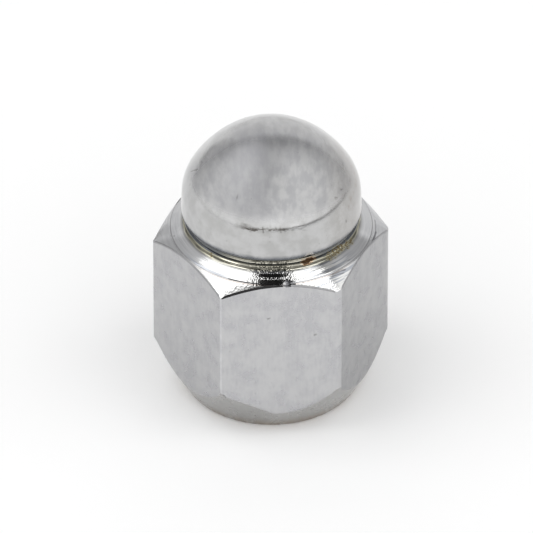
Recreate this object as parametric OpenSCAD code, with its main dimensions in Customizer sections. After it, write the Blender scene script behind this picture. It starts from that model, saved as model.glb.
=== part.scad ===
// Closed-end wheel nut with a 60 degree conical seat.
// The body is turned from hexagon bar, drilled right through and tapped.
// The cap is drawn from sheet steel and welded on to the neck of the body, where it closes the bore.
// The seat end lies on Z = 0, the axis runs up +Z to the crown of the cap, and a flat faces -Y.
// The bore is drawn at the thread's minor diameter, without the thread's helix.

/* [Hexagon] */
// Width across the flats, which is the size of the socket
across_flats = 21; // [20:0.1:23]

/* [Seat] */
// Included angle of the conical seat, in degrees
seat_angle = 60; // [55:1:70]
// Diameter of the seat end, where the cone would meet it at a sharp edge
seat_end_d = 17.7; // [15:0.1:19]
// Radius of the rounded edge between the seat cone and the seat end
seat_edge_r = 0.5; // [0.2:0.05:1]

/* [Thread] */
// Nominal diameter of the thread
thread_d = 12; // [10:0.5:12.5]
// Pitch of the thread
thread_pitch = 1.5; // [1:0.25:1.75]
// Diameter of the countersink at the mouth of the thread
entry_d = 13; // [12.6:0.1:14]

/* [Body] */
// Height of the body, from the seat end to the top face of the neck
body_h = 20.6; // [18:0.1:26]
// Diameter of the neck that carries the cap
neck_d = 17.9; // [17.5:0.1:18.3]
// Height of the neck above the top chamfer
neck_h = 1; // [0.6:0.1:2]
// Slope of the top chamfer over the flats, in degrees from level
chamfer_slope = 27.5; // [20:0.5:32]
// Slope of the top chamfer over the corners, in degrees from level
corner_slope = 36.5; // [32:0.5:45]
// How far inside the flats the chamfer takes the corner slope
chamfer_step = 0.1; // [0:0.05:0.4]
// Width of the turned groove round the neck
groove_w = 0.3; // [0.1:0.05:0.4]
// Depth of the turned groove round the neck
groove_depth = 0.12; // [0.05:0.01:0.2]

/* [Cap] */
// Outer diameter of the cap at the foot of its wall
cap_d = 18.5; // [18.3:0.1:19.5]
// Thickness of the sheet
cap_t = 1; // [0.6:0.1:1.5]
// Height of the cap's wall, from the neck to the start of the shoulder
wall_h = 2.55; // [1.5:0.05:6]
// Lean of the cap's wall, in degrees from vertical
wall_lean = 2.5; // [0:0.5:5]
// Outer radius of the shoulder between wall and flank
shoulder_r = 5.2; // [3:0.1:6]
// Lean of the conical flank, in degrees from vertical
flank_lean = 38.7; // [30:0.1:42]
// Length of the conical flank between shoulder and crown
flank_len = 1.9; // [0.5:0.1:4]
// Radius of the rolled edge at the foot of the wall
rim_r = 0.5; // [0.3:0.05:0.6]

/* [Hidden] */

// Facets of every round surface
$fn = 96;
// Overlap that lets a cut run clear of the face it leaves
cut_over = 1;
// How far a straight stretch lies inside the arcs it blends into, so that they cross cleanly
blend = 0.0005;
// How far each such arc runs on past the blend, in degrees
arc_over = 4;

// A 60 degree thread's minor diameter is its nominal diameter less 5/8 of the sharp height, twice
minor_d = thread_d - 2 * 5 / 8 * thread_pitch * cos(30);
minor_r = minor_d / 2;
entry_r = entry_d / 2;

// Body
corner_r = across_flats / 2 / cos(30);
bar_r = corner_r + cut_over;
seat_end_r = seat_end_d / 2;
seat_half = seat_angle / 2;
neck_r = neck_d / 2;
step_r = across_flats / 2 - chamfer_step;
neck_foot_z = body_h - neck_h;
step_z = neck_foot_z - (step_r - neck_r) * tan(chamfer_slope);
groove_z = body_h - neck_h / 2;

// Rounded edge of the seat end: distance from the sharp edge to where the round begins
edge_back = seat_edge_r * tan((90 - seat_half) / 2);
cone_r = seat_end_r - blend / cos(seat_half);

// Cap: the outline turns from wall to shoulder, flank and crown without a kink
foot_r = cap_d / 2;
wall_top_r = foot_r - wall_h * tan(wall_lean);
wall_top_z = body_h + wall_h;
shoulder_x = wall_top_r - shoulder_r * cos(wall_lean);
shoulder_z = wall_top_z - shoulder_r * sin(wall_lean);
flank_foot_r = shoulder_x + shoulder_r * cos(flank_lean);
flank_foot_z = shoulder_z + shoulder_r * sin(flank_lean);
flank_top_r = flank_foot_r - flank_len * sin(flank_lean);
flank_top_z = flank_foot_z + flank_len * cos(flank_lean);
crown_r = flank_top_r / cos(flank_lean);
crown_z = flank_top_z - crown_r * sin(flank_lean);

// Slice of a disc between two angles less than 90 degrees apart
module slice(r, from, to) {
    reach = 2 * r;
    intersection() {
        circle(r);
        polygon([
            [0, 0],
            reach * [cos(from), sin(from)],
            reach * [cos(to), sin(to)]
        ]);
    }
}

// Half section of the turned body: seat end, seat cone, both chamfers and the neck
module turned_section() {
    polygon([
        [0, 0],
        [seat_end_r - edge_back, 0],
        [cone_r + edge_back * sin(seat_half), edge_back * cos(seat_half)],
        [bar_r, (bar_r - cone_r) / tan(seat_half)],
        [bar_r, step_z - (bar_r - step_r) * tan(corner_slope)],
        [step_r, step_z],
        [neck_r, neck_foot_z],
        [neck_r, groove_z - groove_w / 2],
        [neck_r - groove_depth, groove_z],
        [neck_r, groove_z + groove_w / 2],
        [neck_r, body_h],
        [0, body_h]
    ]);
    translate([seat_end_r - edge_back, seat_edge_r])
        slice(seat_edge_r, -90, -seat_half + arc_over);
}

// Half section of the hole: countersink and threaded bore
module bore_section() {
    polygon([
        [0, -cut_over],
        [entry_r + cut_over, -cut_over],
        [minor_r, entry_r - minor_r],
        [minor_r, body_h + cut_over],
        [0, body_h + cut_over]
    ]);
}

// Half section under the cap's outline, drawn in by inset from the outer surface
module dome_section(inset, foot_z) {
    wall_in = (inset + blend) * [cos(wall_lean), sin(wall_lean)];
    flank_in = (inset + blend) * [cos(flank_lean), sin(flank_lean)];
    foot_in = (inset + blend) / cos(wall_lean) + (foot_z - body_h) * tan(wall_lean);
    polygon([
        [0, foot_z],
        [foot_r - foot_in, foot_z],
        [wall_top_r, wall_top_z] - wall_in,
        [flank_foot_r, flank_foot_z] - flank_in,
        [flank_top_r, flank_top_z] - flank_in,
        [0, flank_top_z]
    ]);
    translate([shoulder_x, shoulder_z])
        slice(shoulder_r - inset, wall_lean - arc_over, flank_lean + arc_over);
    translate([0, crown_z])
        slice(crown_r - inset, flank_lean - arc_over, 90);
}

// Corner outside the rolled edge at the foot of the cap's wall
module rim_waste() {
    rim_x = foot_r - rim_r / cos(wall_lean) - rim_r * tan(wall_lean);
    difference() {
        translate([rim_x, body_h - cut_over])
            square([rim_r + cut_over, cut_over + rim_r + rim_r * sin(wall_lean)]);
        translate([rim_x, body_h + rim_r])
            circle(rim_r);
    }
}

// Hexagon body with its seat, chamfers, neck and bore
module nut_body() {
    color("silver")
        difference() {
            intersection() {
                cylinder(h = body_h, r = corner_r, $fn = 6);
                rotate_extrude()
                    turned_section();
            }
            rotate_extrude()
                bore_section();
        }
}

// Drawn cap, one thickness of sheet all over, with its edge rolled in on to the neck
module cap() {
    color("gainsboro")
        rotate_extrude()
            difference() {
                dome_section(0, body_h);
                dome_section(cap_t, body_h - cut_over);
                rim_waste();
            }
}

nut_body();
cap();
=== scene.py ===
from math import atan2, cos, exp, pi, radians, sin, tan

import bmesh
import bpy
from mathutils import Matrix, Vector, noise


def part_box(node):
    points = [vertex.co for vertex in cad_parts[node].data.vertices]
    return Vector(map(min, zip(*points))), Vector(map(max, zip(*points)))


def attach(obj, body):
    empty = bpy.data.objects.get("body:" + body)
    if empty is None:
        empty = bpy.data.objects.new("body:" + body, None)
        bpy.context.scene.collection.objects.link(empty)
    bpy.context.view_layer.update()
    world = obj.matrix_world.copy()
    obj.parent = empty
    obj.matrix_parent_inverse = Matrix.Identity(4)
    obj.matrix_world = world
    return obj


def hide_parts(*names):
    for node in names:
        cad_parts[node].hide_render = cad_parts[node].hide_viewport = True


mm = 0.001                       # one millimetre, in metres
fullTurn = 2 * pi
mergeDistance = 0.002 * mm

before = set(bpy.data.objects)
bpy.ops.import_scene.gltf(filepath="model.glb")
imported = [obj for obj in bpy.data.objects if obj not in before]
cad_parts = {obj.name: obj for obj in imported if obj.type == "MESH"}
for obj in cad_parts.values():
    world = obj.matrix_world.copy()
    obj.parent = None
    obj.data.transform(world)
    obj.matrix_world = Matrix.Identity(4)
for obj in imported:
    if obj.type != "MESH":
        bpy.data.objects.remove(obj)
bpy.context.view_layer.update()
bodyLow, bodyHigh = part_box("nut_body")
capLow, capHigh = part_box("cap")
print("frame loaded")


# modelling helpers

def deselectAll():
    if bpy.context.mode != "OBJECT":
        bpy.ops.object.mode_set(mode="OBJECT")
    bpy.ops.object.select_all(action="DESELECT")


def selectOnly(piece):
    deselectAll()
    piece.select_set(True)
    bpy.context.view_layer.objects.active = piece


def applyModifier(piece, kind, **settings):
    selectOnly(piece)
    modifier = piece.modifiers.new(kind.title(), kind)
    for key, value in settings.items():
        setattr(modifier, key, value)
    bpy.ops.object.modifier_apply(modifier=modifier.name)


def drawOutline(name, points):           # one vertex, extruded from point to point in the XZ plane
    deselectAll()
    bpy.ops.mesh.primitive_plane_add(size=mm)
    piece = bpy.context.object
    piece.name = name
    bpy.ops.object.mode_set(mode="EDIT")
    bpy.ops.mesh.select_all(action="SELECT")
    bpy.ops.mesh.merge(type="CENTER")
    last = Vector((0, 0, 0))
    for index, (r, z) in enumerate(points):
        step = Vector((r, 0, z)) - last
        last = Vector((r, 0, z))
        if index == 0:
            bpy.ops.transform.translate(value=step)
        else:
            bpy.ops.mesh.extrude_region_move(TRANSFORM_OT_translate={"value": step})
    bpy.ops.object.mode_set(mode="OBJECT")
    return piece


def mergeAndTurnOut(piece):              # doubles merged, stray edges removed, then the normals outward
    selectOnly(piece)
    bpy.ops.object.mode_set(mode="EDIT")
    bpy.ops.mesh.select_all(action="SELECT")
    bpy.ops.mesh.remove_doubles(threshold=mergeDistance)
    bpy.ops.mesh.delete_loose()
    bpy.ops.mesh.select_all(action="SELECT")
    bpy.ops.mesh.normals_make_consistent(inside=False)
    bpy.ops.object.mode_set(mode="OBJECT")


def turnOutline(piece, steps):
    selectOnly(piece)
    bpy.ops.object.mode_set(mode="EDIT")
    bpy.ops.mesh.select_all(action="SELECT")
    bpy.ops.mesh.spin(steps=steps, angle=fullTurn, center=(0, 0, 0), axis=(0, 0, 1))
    bpy.ops.object.mode_set(mode="OBJECT")
    mergeAndTurnOut(piece)


def bevelWhere(piece, chosen, width, segments):      # bevels the edges that chosen(mesh edge) picks
    selectOnly(piece)
    bpy.ops.object.mode_set(mode="EDIT")
    bpy.ops.mesh.select_mode(type="EDGE")
    bpy.ops.mesh.select_all(action="DESELECT")
    mesh = bmesh.from_edit_mesh(piece.data)
    for edge in mesh.edges:
        edge.select_set(chosen(edge))
    bmesh.update_edit_mesh(piece.data)
    bpy.ops.mesh.bevel(offset=width, segments=segments, affect="EDGES", profile=0.5)
    bpy.ops.mesh.select_mode(type="VERT")
    bpy.ops.object.mode_set(mode="OBJECT")


def arcPoints(centre, radius, fromAngle, toAngle, steps):    # degrees from outward, both ends included
    points = []
    for step in range(steps + 1):
        angle = radians(fromAngle + (toAngle - fromAngle) * step / steps)
        points.append((centre[0] + radius * cos(angle), centre[1] + radius * sin(angle)))
    return points


def linePoints(start, end, steps):       # points between start and end, without the two ends
    return [(start[0] + (end[0] - start[0]) * s / steps,
             start[1] + (end[1] - start[1]) * s / steps) for s in range(1, steps)]


viewTurn = radians(-4.88)        # how far the camera stands from -Y, so that marks can be set as it sees them


def facing(right, front, up):            # a direction in the camera's own right, front and up
    return Vector((cos(viewTurn), sin(viewTurn), 0)) * right \
        + Vector((sin(viewTurn), -cos(viewTurn), 0)) * front + Vector((0, 0, up))


# nut body

nut = {
    "seatAngle": 30,             # half angle of the seat cone, degrees
    "seatEndRadius": 8.85 * mm,
    "seatEdgeRadius": 0.5 * mm,
    "seatEdgeSteps": 6,
    "endFaceSteps": 3,
    "countersinkRadius": 6.5 * mm,
    "neckRadius": 8.95 * mm,
    "neckHeight": 1.0 * mm,
    "neckRidges": ((0.07, 0.09), (0.16, 0.0), (0.25, 0.08), (0.34, 0.0), (0.43, 0.10),
                   (0.53, 0.01), (0.60, 0.03), (0.70, 0.20), (0.85, 0.22)),  # share of height, depth in mm
    "neckTopDepth": 0.22 * mm,
    "chamferSlope": 27.5,        # over the flats, degrees from level
    "cornerSlope": 36.5,         # over the corners
    "chamferStep": 0.1 * mm,     # how far inside the flats the slope changes
    "stepProfile": ((0.03, -0.02), (0.0, -0.03), (-0.05, -0.005), (-0.07, 0.035)),   # out and up from it, mm
    "ringPitch": 0.16 * mm,      # turning marks left on the chamfer
    "ringDepth": 0.0025 * mm,
    "ringUneven": (0.4, 1.6),    # least share of the depth, and what the noise adds
    "ringNoise": (0.37, 3.1, 5.2),       # step from mark to mark, and the noise's own place
    "waveDepth": 0.007 * mm,     # and the broader waves under them
    "waveNoise": (0.42 * mm, 7.7, 1.2),  # their pitch, and the noise's own place
    "turningSteps": 240,
    "smoothAngle": 25,
    "barMargin": 1.0 * mm,       # what the turned blank stands out past the bar, and the bar past its ends
    "sharpCorner": 0.12 * mm,    # rounding of the long edges
    "softCorner": 0.5 * mm,
    "softCorners": (0, 5, 1),    # counted anticlockwise from +X
    "cornerReach": 0.1 * mm,
    "cornerSegments": 4,
    "edgeBreak": 0.13 * mm,      # where the chamfer meets the flats
    "wideBreak": 0.15 * mm,      # the same, on the half of the front flat's upper arch that carries a painted dark line of shade
    "seatBreak": 0.3 * mm,       # where the seat meets the flats
    "breakSegments": 3,
    "seatBreakSegments": 4,
    "flatReach": 0.004 * mm,     # how near a flat a corner of an arch lies
    "frontReach": 0.01 * mm,
    "levelTilt": 0.2,            # a face that looks more up or down than this is no flat
    "middleHeight": 10 * mm,     # between the upper and the lower arches
    "darkLineEnd": -0.25 * mm,     # the half of the front arch with the painted dark line ends here
    "seatFlat": ((-6.06, -10.5, 5.55), (-1.18, -10.5, 3.15), (-3.03, -8.87, 1.0)),   # three points, mm
    "seatFlatBlock": 30 * mm,
    "nick": (8.6, 10.42, 18.95, 0.46),   # turn from the front, radius, height, size in mm
    "nickStretch": (1.0, 0.8, 0.6),
    "nickRoundness": 3,
    "threadPitch": 1.5 * mm,
    "threadMajorRadius": 6.0 * mm,
    "threadMinorRadius": 5.188 * mm,
    "threadSteps": 64,
    "tapClearance": 0.3 * mm,
    "tapSpareTurns": 4,
    "tapStart": 1.5,             # turns below the end face
}


def ringedLine(start, end):      # from start to end, with a fine ridge and furrow at each turning mark
    run = Vector(end) - Vector(start)
    out = Vector((-run.y, run.x)).normalized()
    count = int(run.length / nut["ringPitch"]) * 2
    least, more = nut["ringUneven"]
    stride, *ringSeed = nut["ringNoise"]
    pitch, *waveSeed = nut["waveNoise"]
    points = []
    for step in range(1, count):
        depth = nut["ringDepth"] * (least + more * abs(noise.noise((step * stride, *ringSeed))))
        side = depth if step % 2 else -depth
        side += nut["waveDepth"] * noise.noise((run.length * step / count / pitch, *waveSeed))
        points.append(tuple(Vector(start) + run * step / count + out * side))
    return points


def bodyOutline():
    top = bodyHigh.z
    apothem = bodyHigh.y
    barRadius = bodyHigh.x + nut["barMargin"]
    neckFoot = top - nut["neckHeight"]
    stepRadius = apothem - nut["chamferStep"]
    stepHeight = neckFoot - (stepRadius - nut["neckRadius"]) * tan(radians(nut["chamferSlope"]))
    barTop = stepHeight - (barRadius - stepRadius) * tan(radians(nut["cornerSlope"]))
    seat = radians(nut["seatAngle"])
    edge = nut["seatEdgeRadius"]
    back = edge * tan((pi / 2 - seat) / 2)
    barFoot = (barRadius - nut["seatEndRadius"]) / tan(seat)
    seatStart = (nut["seatEndRadius"] - back, edge)
    points = [(nut["threadMinorRadius"], nut["countersinkRadius"] - nut["threadMinorRadius"]),
              (nut["countersinkRadius"], 0)]
    points += linePoints(points[-1], (seatStart[0], 0), nut["endFaceSteps"])
    points += arcPoints(seatStart, edge, -90, -nut["seatAngle"], nut["seatEdgeSteps"])
    *step, ringStart = [(stepRadius + out * mm, stepHeight + up * mm) for out, up in nut["stepProfile"]]
    points += [(barRadius, barFoot), (barRadius, barTop)] + step
    points += ringedLine(ringStart, (nut["neckRadius"], neckFoot))
    points.append((nut["neckRadius"], neckFoot))
    for share, depth in nut["neckRidges"]:
        points.append((nut["neckRadius"] - depth * mm, neckFoot + share * nut["neckHeight"]))
    points += [(nut["neckRadius"] - nut["neckTopDepth"], top), (nut["threadMinorRadius"], top)]
    points.append(points[0])
    return points


def makeBar():                   # hexagon bar, its long edges rounded one by one
    deselectAll()
    length = bodyHigh.z - bodyLow.z + 2 * nut["barMargin"]
    bpy.ops.mesh.primitive_cylinder_add(vertices=6, radius=bodyHigh.x, depth=length,
                                        location=(0, 0, (bodyHigh.z + bodyLow.z) / 2),
                                        rotation=(0, 0, pi / 2))
    bar = bpy.context.object
    bpy.ops.object.transform_apply(location=True, rotation=True, scale=True)
    for corner in range(6):
        angle = corner * pi / 3
        place = Vector((cos(angle), sin(angle))) * bodyHigh.x

        def isThisCorner(edge):
            middle = (edge.verts[0].co + edge.verts[1].co) / 2
            upright = abs(edge.verts[0].co.z - edge.verts[1].co.z) > length / 2
            return upright and (middle.xy - place).length < nut["cornerReach"]

        width = nut["softCorner"] if corner in nut["softCorners"] else nut["sharpCorner"]
        bevelWhere(bar, isThisCorner, width, nut["cornerSegments"])
    return bar


def makeTap():                   # the thread's own ridge, swept past both ends of the bore
    pitch = nut["threadPitch"]
    root, crest = nut["threadMinorRadius"], nut["threadMajorRadius"]
    core = root - nut["tapClearance"]
    halfCrest, halfRoot = pitch / 16, pitch * 5 / 16         # of the standard thread form
    foot = halfRoot + (root - core) * (halfRoot - halfCrest) / (crest - root)
    tap = drawOutline("threadTap", [(core, -foot), (crest, -halfCrest), (crest, halfCrest), (core, foot),
                                    (core, -foot)])
    turns = int((bodyHigh.z - bodyLow.z) / pitch) + nut["tapSpareTurns"]
    applyModifier(tap, "SCREW", angle=fullTurn, screw_offset=pitch, iterations=turns,
                  steps=nut["threadSteps"], render_steps=nut["threadSteps"],
                  use_merge_vertices=True, merge_threshold=mergeDistance)
    for vertex in tap.data.vertices:
        vertex.co.z -= nut["tapStart"] * pitch
    mergeAndTurnOut(tap)
    bpy.ops.object.mode_set(mode="EDIT")
    bpy.ops.mesh.select_all(action="SELECT")
    bpy.ops.mesh.fill_holes(sides=0)
    bpy.ops.object.mode_set(mode="OBJECT")
    mergeAndTurnOut(tap)
    return tap


def flatDistance(point):         # how far a point lies inside the nearest flat
    apothem = bodyHigh.y
    return min(apothem - abs(point.x * sin(k * pi / 3) + point.y * cos(k * pi / 3)) for k in range(3))


def isArch(edge):                # where a flat meets the chamfer or the seat cone
    if len(edge.link_faces) != 2 or max(flatDistance(end.co) for end in edge.verts) > nut["flatReach"]:
        return False
    return sum(abs(face.normal.z) > nut["levelTilt"] for face in edge.link_faces) == 1


def isDarkLineArch(edge):              # the half of the front flat's upper arch that is broken wider, to carry a painted dark line of shade
    middle = (edge.verts[0].co + edge.verts[1].co) / 2
    return isArch(edge) and middle.z > nut["middleHeight"] and middle.x < nut["darkLineEnd"] \
        and middle.y < nut["frontReach"] - bodyHigh.y


def isUpperArch(edge):
    return isArch(edge) and edge.verts[0].co.z > nut["middleHeight"] and not isDarkLineArch(edge)


def isSeatArch(edge):
    return isArch(edge) and edge.verts[0].co.z < nut["middleHeight"]


def cutSeatFlat(body):           # a shallow flat that crosses the seat under the left of the front flat
    first, second, third = (Vector(point) * mm for point in nut["seatFlat"])
    outward = (second - first).cross(third - first).normalized()
    if outward.y > 0:
        outward = -outward
    size = nut["seatFlatBlock"]
    deselectAll()
    bpy.ops.mesh.primitive_cube_add(size=size, location=first + outward * size / 2,
                                    rotation=outward.to_track_quat("Z", "Y").to_euler())
    applyTo(body, bpy.context.object, "DIFFERENCE")


def cutNick(body):               # a small knock in the edge of the chamfer
    turn, radius, height, size = nut["nick"]
    side = facing(sin(radians(turn)), cos(radians(turn)), 0)
    deselectAll()
    bpy.ops.mesh.primitive_ico_sphere_add(subdivisions=nut["nickRoundness"], radius=size * mm,
                                          location=side * radius * mm + Vector((0, 0, height * mm)))
    punch = bpy.context.object
    bpy.ops.transform.resize(value=nut["nickStretch"])
    bpy.ops.object.transform_apply(location=True, rotation=True, scale=True)
    applyTo(body, punch, "DIFFERENCE")


def applyTo(body, helper, operation):
    applyModifier(body, "BOOLEAN", operation=operation, object=helper, solver="EXACT")
    bpy.data.objects.remove(helper)


def makeNutBody():
    body = drawOutline("nutBody", bodyOutline())
    turnOutline(body, nut["turningSteps"])
    cutSeatFlat(body)
    applyTo(body, makeBar(), "INTERSECT")
    applyTo(body, makeTap(), "DIFFERENCE")
    cutNick(body)
    bevelWhere(body, isDarkLineArch, nut["wideBreak"], nut["breakSegments"])
    bevelWhere(body, isUpperArch, nut["edgeBreak"], nut["breakSegments"])
    bevelWhere(body, isSeatArch, nut["seatBreak"], nut["seatBreakSegments"])
    mergeAndTurnOut(body)
    bpy.ops.object.shade_smooth_by_angle(angle=radians(nut["smoothAngle"]))
    print("nut body modelled:", len(body.data.polygons), "faces")
    return body


# cap

cap = {
    "footRadius": 9.25 * mm,
    "sheet": 1.0 * mm,
    "wallHeight": 2.55 * mm,
    "wallLean": 2.5,             # degrees from upright
    "shoulderRadius": 5.2 * mm,
    "shoulderEnd": 32.0,         # where the shoulder passes into the flank, degrees from outward
    "flankRadius": 12.40 * mm,
    "flankEnd": 60.0,            # and the flank into the crown
    "rimRadius": 0.75 * mm,
    "outerSteps": (10, 10, 20, 34, 26),  # rim, wall, shoulder, flank, crown
    "innerSteps": (8, 8, 6),     # crown, flank, shoulder
    "turningSteps": 384,
    "smoothAngle": 35,
    "outwardRise": 0.4,          # tells the outside of the sheet from the inside
    "crownDepth": 0.5 * mm,
    "workFrom": 0.9 * mm,        # the marks start this far above the foot, and are full after the fade
    "workFade": 2.5 * mm,
    "waveDepth": 0.008 * mm,     # long waves left by the drawing
    "waveSize": 2.6 * mm,
    "waveBias": 0.6,
    "smallWaves": (0.35, 2.7),   # their share, and how much finer they are
    "streakDepth": 0.0035 * mm,  # finer streaks that run up the dome
    "streakSize": 0.55 * mm,
    "streakStretch": 0.25,
    "puckerDepth": 0.010 * mm,   # where the sheet gathers round the shoulder
    "puckerHeight": 4.0 * mm,    # above the foot
    "puckerBand": 0.5 * mm,
    "puckerReach": (-2, 34),     # middle and half width, degrees from the front
    "puckerNoise": (0.55, 0.9 * mm, 4.0),    # step for a degree, size along the height, the noise's own place
    "puckerBias": 0.5,
    # turn from the front and height, half sizes along and up, depth; degrees and mm
    "dents": ((-17.5, 24.87, 1.1, 0.10, 0.022), (-13.7, 24.32, 0.7, 0.06, 0.028),
              (-5.2, 24.7, 0.35, 0.22, 0.03), (-1.0, 24.9, 0.25, 0.25, 0.012), (3.0, 24.75, 0.5, 0.12, 0.014),
              (6.2, 24.8, 0.3, 0.25, 0.022), (8.5, 24.55, 0.5, 0.14, 0.014), (14.0, 24.5, 0.8, 0.1, 0.01),
              (19.4, 24.5, 1.6, 0.05, 0.016), (22.0, 24.25, 1.2, 0.05, 0.012),
              (55.9, 23.05, 0.5, 0.06, 0.035), (-76.0, 25.4, 0.5, 0.08, 0.04),
              (-28.0, 27.0, 0.5, 0.16, 0.014), (61.0, 26.1, 0.8, 0.1, 0.012), (52.0, 25.8, 0.6, 0.09, 0.016)),
    "bump": (203.5, 27.91, 1.3, 0.16, 0.13),     # a bead of plating on the far shoulder
    "rimNotch": (24.8, 3.0, 0.22),       # turn, half width in degrees, lift in mm
    "rimHeight": 1.4 * mm,       # of the part that the notch lifts
    "rimInside": 8.4 * mm,
}


def arcCentre(point, radius, angle):     # of an arc that passes a point with its outward side at this angle
    return point[0] - radius * cos(radians(angle)), point[1] - radius * sin(radians(angle))


def capOutline():
    foot = capLow.z
    wall = radians(cap["wallLean"])
    wallTop = (cap["footRadius"] - cap["wallHeight"] * tan(wall), foot + cap["wallHeight"])
    shoulder = arcCentre(wallTop, cap["shoulderRadius"], cap["wallLean"])
    shoulderTop = arcPoints(shoulder, cap["shoulderRadius"], cap["wallLean"], cap["shoulderEnd"], 1)[-1]
    flank = arcCentre(shoulderTop, cap["flankRadius"], cap["shoulderEnd"])
    flankTop = arcPoints(flank, cap["flankRadius"], cap["shoulderEnd"], cap["flankEnd"], 1)[-1]
    crownRadius = flankTop[0] / cos(radians(cap["flankEnd"]))
    crown = arcCentre(flankTop, crownRadius, cap["flankEnd"])
    rim = (cap["footRadius"] - cap["rimRadius"] / cos(wall) - cap["rimRadius"] * tan(wall),
           foot + cap["rimRadius"])
    sheet, steps, inSteps = cap["sheet"], cap["outerSteps"], cap["innerSteps"]
    outer = arcPoints(rim, cap["rimRadius"], -90, cap["wallLean"], steps[0])
    outer += linePoints(outer[-1], wallTop, steps[1])
    outer += arcPoints(shoulder, cap["shoulderRadius"], cap["wallLean"], cap["shoulderEnd"], steps[2])
    outer += arcPoints(flank, cap["flankRadius"], cap["shoulderEnd"], cap["flankEnd"], steps[3])[1:]
    outer += arcPoints(crown, crownRadius, cap["flankEnd"], 90, steps[4])[1:]
    inner = arcPoints(crown, crownRadius - sheet, 90, cap["flankEnd"], inSteps[0])
    inner += arcPoints(flank, cap["flankRadius"] - sheet, cap["flankEnd"], cap["shoulderEnd"], inSteps[1])[1:]
    inner += arcPoints(shoulder, cap["shoulderRadius"] - sheet, cap["shoulderEnd"], cap["wallLean"],
                       inSteps[2])[1:]
    inner += [(cap["footRadius"] - sheet / cos(wall), foot)]
    return outer + inner + [outer[0]]


def turnFromFront(point):        # degrees, positive to the right
    front = facing(0, 1, 0)
    right = facing(1, 0, 0)
    return atan2(point.dot(right), point.dot(front)) * 180 / pi


def hump(distance, halfSize):
    return exp(-(distance / halfSize) ** 2)


def markStrength(point, mark):   # 1 at the middle of a mark, fading outward
    turn, height, along, up = mark[:4]
    apart = (turnFromFront(point) - turn + 180) % 360 - 180
    return hump(apart, along) * hump(point.z / mm - height, up)


def outsideDepth(place, turn):   # how far the drawn sheet is moved outward here, and how much of a dent it is
    rise = min(1.0, (place.z - capLow.z - cap["workFrom"]) / cap["workFade"])
    part, finer = cap["smallWaves"]
    wave = noise.noise(place / cap["waveSize"]) + part * noise.noise(place / cap["waveSize"] * finer)
    streak = noise.noise(Vector((place.x, place.y * cap["streakStretch"], 0)) / cap["streakSize"])
    near = hump(place.z - (capLow.z + cap["puckerHeight"]), cap["puckerBand"])
    middle, reach = cap["puckerReach"]
    step, size, seed = cap["puckerNoise"]
    pucker = noise.noise(Vector((turn * step, place.z / size, seed))) * hump(turn - middle, reach)
    depth = -cap["waveDepth"] * (cap["waveBias"] + wave) * rise + cap["streakDepth"] * streak * rise
    depth -= cap["puckerDepth"] * (cap["puckerBias"] + pucker) * near
    strength = 0.0
    for mark in cap["dents"]:
        share = markStrength(place, mark)
        depth -= mark[4] * mm * share
        strength = max(strength, share)
    return depth + cap["bump"][4] * mm * markStrength(place, cap["bump"]), strength


def workCap(shell):              # waves, streaks, puckers, dents and the notch of a drawn and plated sheet
    mesh = shell.data
    # each dent's strength, kept for a painted shade in the dents
    dentShadeMask = mesh.attributes.new("dentShadeMask", "FLOAT", "POINT")
    notchTurn, notchWidth, notchLift = cap["rimNotch"]
    moves = []
    for vertex in mesh.vertices:
        place, normal = vertex.co.copy(), vertex.normal.copy()
        radius = place.xy.length
        turn = turnFromFront(place)
        looksOut = normal.dot(Vector((place.x, place.y, cap["outwardRise"] * radius))) > 0
        outside = looksOut or place.z > capHigh.z - cap["crownDepth"]
        strength = 0.0
        move = Vector((0, 0, 0))
        if outside and place.z > capLow.z + cap["workFrom"]:
            depth, strength = outsideDepth(place, turn)
            move = normal * depth
        if place.z < capLow.z + cap["rimHeight"] and radius > cap["rimInside"]:
            low = 1 - (place.z - capLow.z) / cap["rimHeight"]
            move += Vector((0, 0, notchLift * mm * hump(turn - notchTurn, notchWidth) * low))
        moves.append(move)
        dentShadeMask.data[vertex.index].value = strength
    for vertex, move in zip(mesh.vertices, moves):
        vertex.co += move
    mesh.update()


def makeCap():
    shell = drawOutline("domeCap", capOutline())
    turnOutline(shell, cap["turningSteps"])
    workCap(shell)
    selectOnly(shell)
    bpy.ops.object.shade_smooth_by_angle(angle=radians(cap["smoothAngle"]))
    print("cap modelled:", len(shell.data.polygons), "faces")
    return shell


# node helpers

def feed(tree, socket, value):           # a socket, a number, a colour or a vector
    if isinstance(value, bpy.types.NodeSocket):
        tree.links.new(value, socket)
    elif isinstance(value, (tuple, list)) and socket.type == "RGBA":
        socket.default_value = (*value, 1)
    else:
        socket.default_value = value


def addMath(tree, operation, first, second=0.0):
    node = tree.nodes.new("ShaderNodeMath")
    node.operation = operation
    feed(tree, node.inputs[0], first)
    feed(tree, node.inputs[1], second)
    return node.outputs[0]


def plus(tree, first, second):
    return addMath(tree, "ADD", first, second)


def minus(tree, first, second):
    return addMath(tree, "SUBTRACT", first, second)


def times(tree, first, *others):
    for other in others:
        first = addMath(tree, "MULTIPLY", first, other)
    return first


def awayFrom(tree, value, middle):       # how far a value lies from a middle one, on either side
    return addMath(tree, "ABSOLUTE", minus(tree, value, middle))


def addRange(tree, value, low, high, toLow=0.0, toHigh=1.0):     # smooth step from low to high
    node = tree.nodes.new("ShaderNodeMapRange")
    node.interpolation_type = "SMOOTHSTEP"
    for name, part in (("Value", value), ("From Min", low), ("From Max", high),
                       ("To Min", toLow), ("To Max", toHigh)):
        feed(tree, node.inputs[name], part)
    return node.outputs["Result"]


def addMix(tree, share, first, second, blend="MIX"):
    node = tree.nodes.new("ShaderNodeMix")
    node.data_type = "RGBA"
    node.blend_type = blend
    feed(tree, node.inputs["Factor"], share)
    feed(tree, node.inputs["A"], first)
    feed(tree, node.inputs["B"], second)
    return node.outputs["Result"]


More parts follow.
